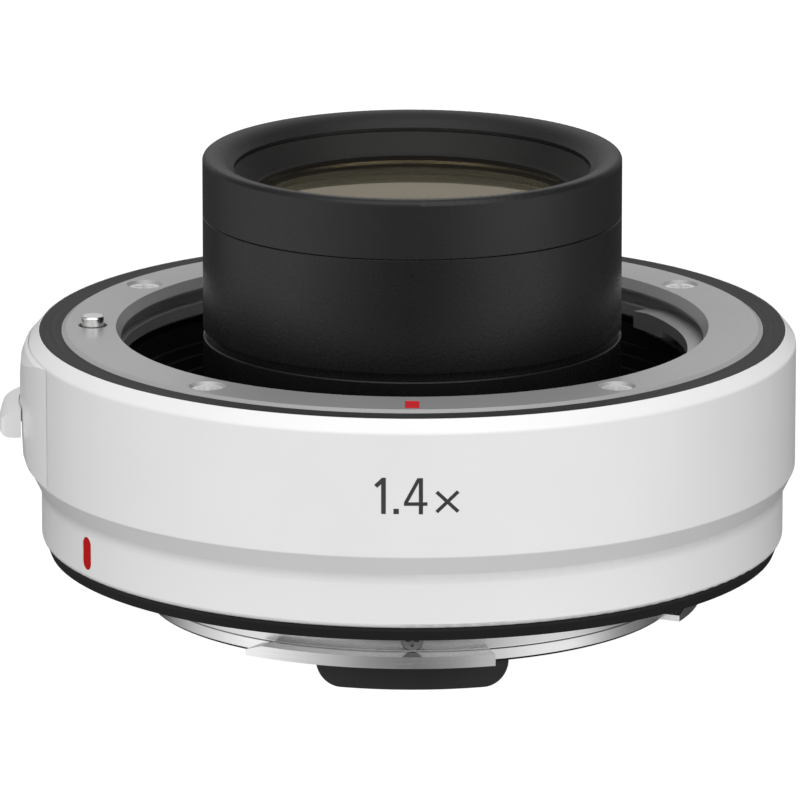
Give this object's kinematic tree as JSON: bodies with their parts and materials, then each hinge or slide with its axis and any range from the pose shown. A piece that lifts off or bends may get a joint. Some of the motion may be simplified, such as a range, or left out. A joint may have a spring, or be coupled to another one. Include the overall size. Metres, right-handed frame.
{
  "type": "camera teleconverter",
  "caption": "Short round camera teleconverter with bayonet mounts at both ends, a raised optics barrel, a sprung lock pin and a side release lever.",
  "frame": {"origin": "on the optical axis, in the plane of the camera-side flange", "axes": "+Z along the optical axis towards the lens side, -Y towards the front index mark, -X towards the release lever"},
  "size_m": [0.0739, 0.0712, 0.0448],
  "materials": {
    "white_paint": "satin white paint on alloy",
    "mount_chrome": "fine turned chrome plate",
    "mount_steel": "fine turned",
    "screw_steel": "bright",
    "spring_steel": "bright",
    "brass": "plain",
    "gold_contact": "gold plated",
    "black_satin": "black satin",
    "black_anodised": "black anodised",
    "black_plastic": "matte",
    "black_rubber": "matte",
    "green_board": "solder mask",
    "amber_film": "film",
    "lens_glass": "coated",
    "red_mark": "filled paint"
  },
  "bodies": {
    "housing": {"baffle_screws": "screw_steel", "barrel_base": "black_anodised", "barrel_screws": "screw_steel", "board_chips": "black_plastic", "board_flex": "amber_film", "board_screws": "screw_steel", "camera_mount": "mount_steel", "camera_mount_screws": "screw_steel", "casing_side_index": "red_mark", "circuit_board": "green_board", "contact_block_screw": "screw_steel", "contact_flex": "amber_film", "contact_springs": "spring_steel", "doublet_retainer": "black_anodised", "flare_stop": "black_anodised", "front_contact_block": "black_plastic", "front_hood_ring": "black_anodised", "front_lens_retainer": "black_anodised", "front_spacer_ring": "black_anodised", "front_trim_ring": "black_satin", "lens_element_1": "lens_glass", "lens_element_2": "lens_glass", "lens_element_3": "lens_glass", "lens_element_4": "lens_glass", "lens_element_5": "lens_glass", "lens_element_6": "lens_glass", "lens_element_7": "lens_glass", "lens_mount_ring": "mount_chrome", "lens_mount_screws": "screw_steel", "lens_side_index": "red_mark", "lever_cover": "white_paint", "lever_guide_rods": "screw_steel", "lever_springs": "spring_steel", "lock_pin_bush": "brass", "lock_pin_spring": "spring_steel", "main_frame": "black_anodised", "mount_leaf_springs": "spring_steel", "optics_barrel": "black_anodised", "optics_plate": "black_anodised", "outer_casing": "white_paint", "rear_baffle": "black_anodised", "rear_contact_block": "black_plastic", "rear_contacts": "gold_contact", "rear_lens_cell": "black_anodised", "rear_retaining_ring": "black_anodised", "seal_ring": "black_rubber", "throat_liner": "black_plastic"},
    "release_lever": {"release_lever": "white_paint"},
    "lock_pin": {"lock_pin": "screw_steel"},
    "front_contact_pins": {"front_contact_pins": "gold_contact"}
  },
  "joints": [
    {"name": "release_lever_slide", "type": "slide", "parent": "housing", "child": "release_lever", "axis": [0, 0, -1], "range_m": [0, 0.0015], "stiffness_N_per_m": 300, "springref_m": -0.004, "deforming": ["lever_springs"]},
    {"name": "lock_pin_slide", "type": "slide", "parent": "housing", "child": "lock_pin", "axis": [0, 0, -1], "range_m": [0, 0.0015], "stiffness_N_per_m": 150, "springref_m": -0.004, "deforming": ["lock_pin_spring"]},
    {"name": "contact_pins_slide", "type": "slide", "parent": "housing", "child": "front_contact_pins", "axis": [0, 0, -1], "range_m": [0, 0.0006], "stiffness_N_per_m": 400, "springref_m": -0.002, "deforming": ["contact_springs"]}
  ],
  "couplings": [
    {"joint": "lock_pin_slide", "follows": "release_lever_slide", "ratio": 1}
  ]
}
